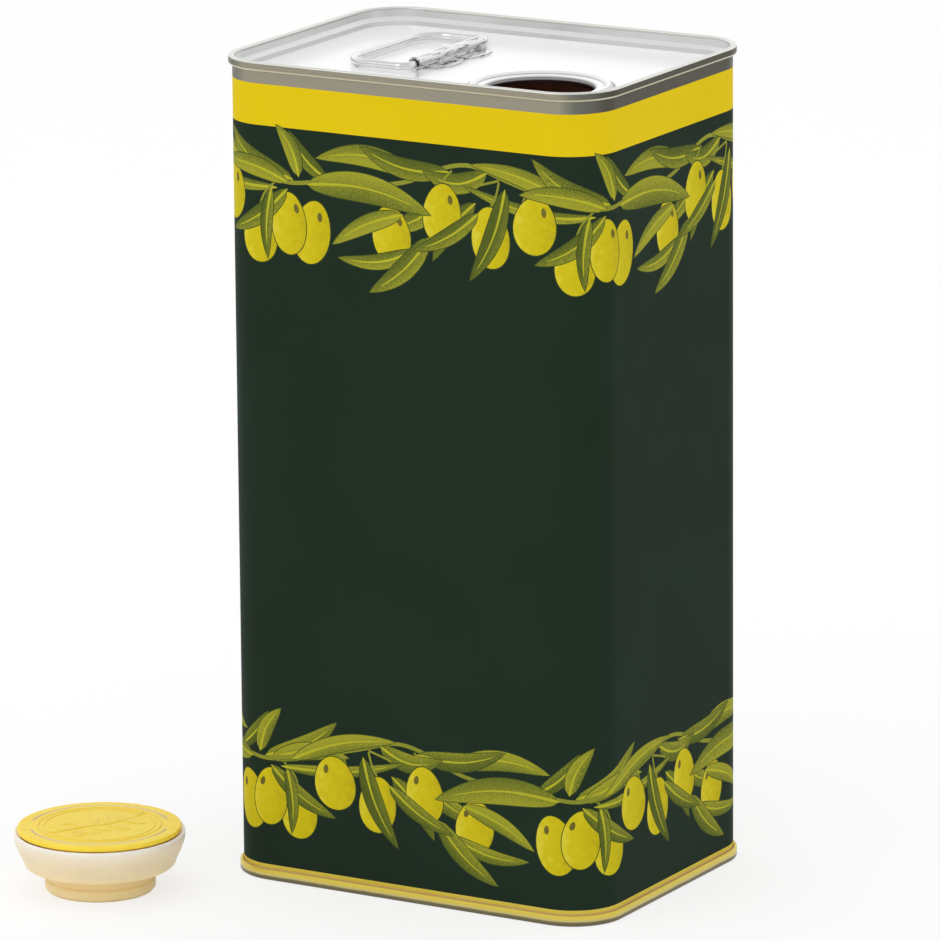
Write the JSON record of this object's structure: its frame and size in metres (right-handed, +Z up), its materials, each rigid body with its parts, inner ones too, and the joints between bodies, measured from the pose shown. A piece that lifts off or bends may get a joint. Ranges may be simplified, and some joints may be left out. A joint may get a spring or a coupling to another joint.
{
  "type": "oil tin with pouring spout",
  "caption": "Rectangular printed oil tin with double-seamed ends, wire carry handle and snap-in mouth, with its pull-out pouring spout, screw cap and pull rings beside it",
  "frame": {"origin": "centre of the ring that the tin stands on, at the lowest point of its bottom seam", "axes": "+Z up through the tin, -Y out of the wide front face, +X towards the narrow face beside the mouth; the loose spout stands in front and to the left"},
  "size_m": [0.1815, 0.1583, 0.254],
  "materials": {
    "printed_tin": "semi-gloss print",
    "bright_tin": "bright tinplate",
    "compound": "matt",
    "wire": "bright plated wire",
    "spout_plastic": "translucent, satin",
    "liner_foam": "matt foam",
    "cap_plastic": "satin"
  },
  "bodies": {
    "tin": {"body_shell": "printed_tin", "top_end": "bright_tin", "bottom_end": "bright_tin", "top_seam_compound": "compound", "bottom_seam_compound": "compound", "handle_bracket": "bright_tin"},
    "handle": {"carry_handle": "wire"},
    "spout": {"spout_base": "spout_plastic", "spout_sleeve": "spout_plastic"},
    "neck": {"pour_neck": "spout_plastic", "tear_seal": "spout_plastic"},
    "liner": {"cap_liner": "liner_foam"},
    "cap": {"screw_cap": "cap_plastic"},
    "front_ring": {"front_bail": "cap_plastic"},
    "back_ring": {"back_bail": "cap_plastic"}
  },
  "joints": [
    {"name": "handle_swing", "type": "hinge", "parent": "tin", "child": "handle", "pos_m": [-0.01555, 0.0055, 0.25015], "axis": [0, 1, 0], "range_deg": [0, 180]},
    {"name": "spout_lift", "type": "slide", "parent": "tin", "child": "spout", "axis": [0, 0, 1], "range_m": [0, 0.26]},
    {"name": "spout_pull", "type": "slide", "parent": "spout", "child": "neck", "axis": [0, 0, 1], "range_m": [0, 0.028], "deforming": ["spout_sleeve"]},
    {"name": "liner_lift", "type": "slide", "parent": "neck", "child": "liner", "axis": [0, 0, 1], "range_m": [0, 0.0045]},
    {"name": "cap_turn", "type": "hinge", "parent": "liner", "child": "cap", "pos_m": [-0.08955, -0.0815, 0.0182], "axis": [0, 0, 1], "range_deg": [0, 540]},
    {"name": "front_ring_lift", "type": "hinge", "parent": "cap", "child": "front_ring", "pos_m": [-0.08696, -0.08598, 0.0199], "axis": [-0.866, -0.5, 0], "range_deg": [0, 90]},
    {"name": "back_ring_lift", "type": "hinge", "parent": "cap", "child": "back_ring", "pos_m": [-0.09214, -0.07702, 0.0199], "axis": [0.866, 0.5, 0], "range_deg": [0, 90]}
  ],
  "couplings": [
    {"joint": "liner_lift", "follows": "cap_turn", "m_per_rad": 0.00047746}
  ]
}
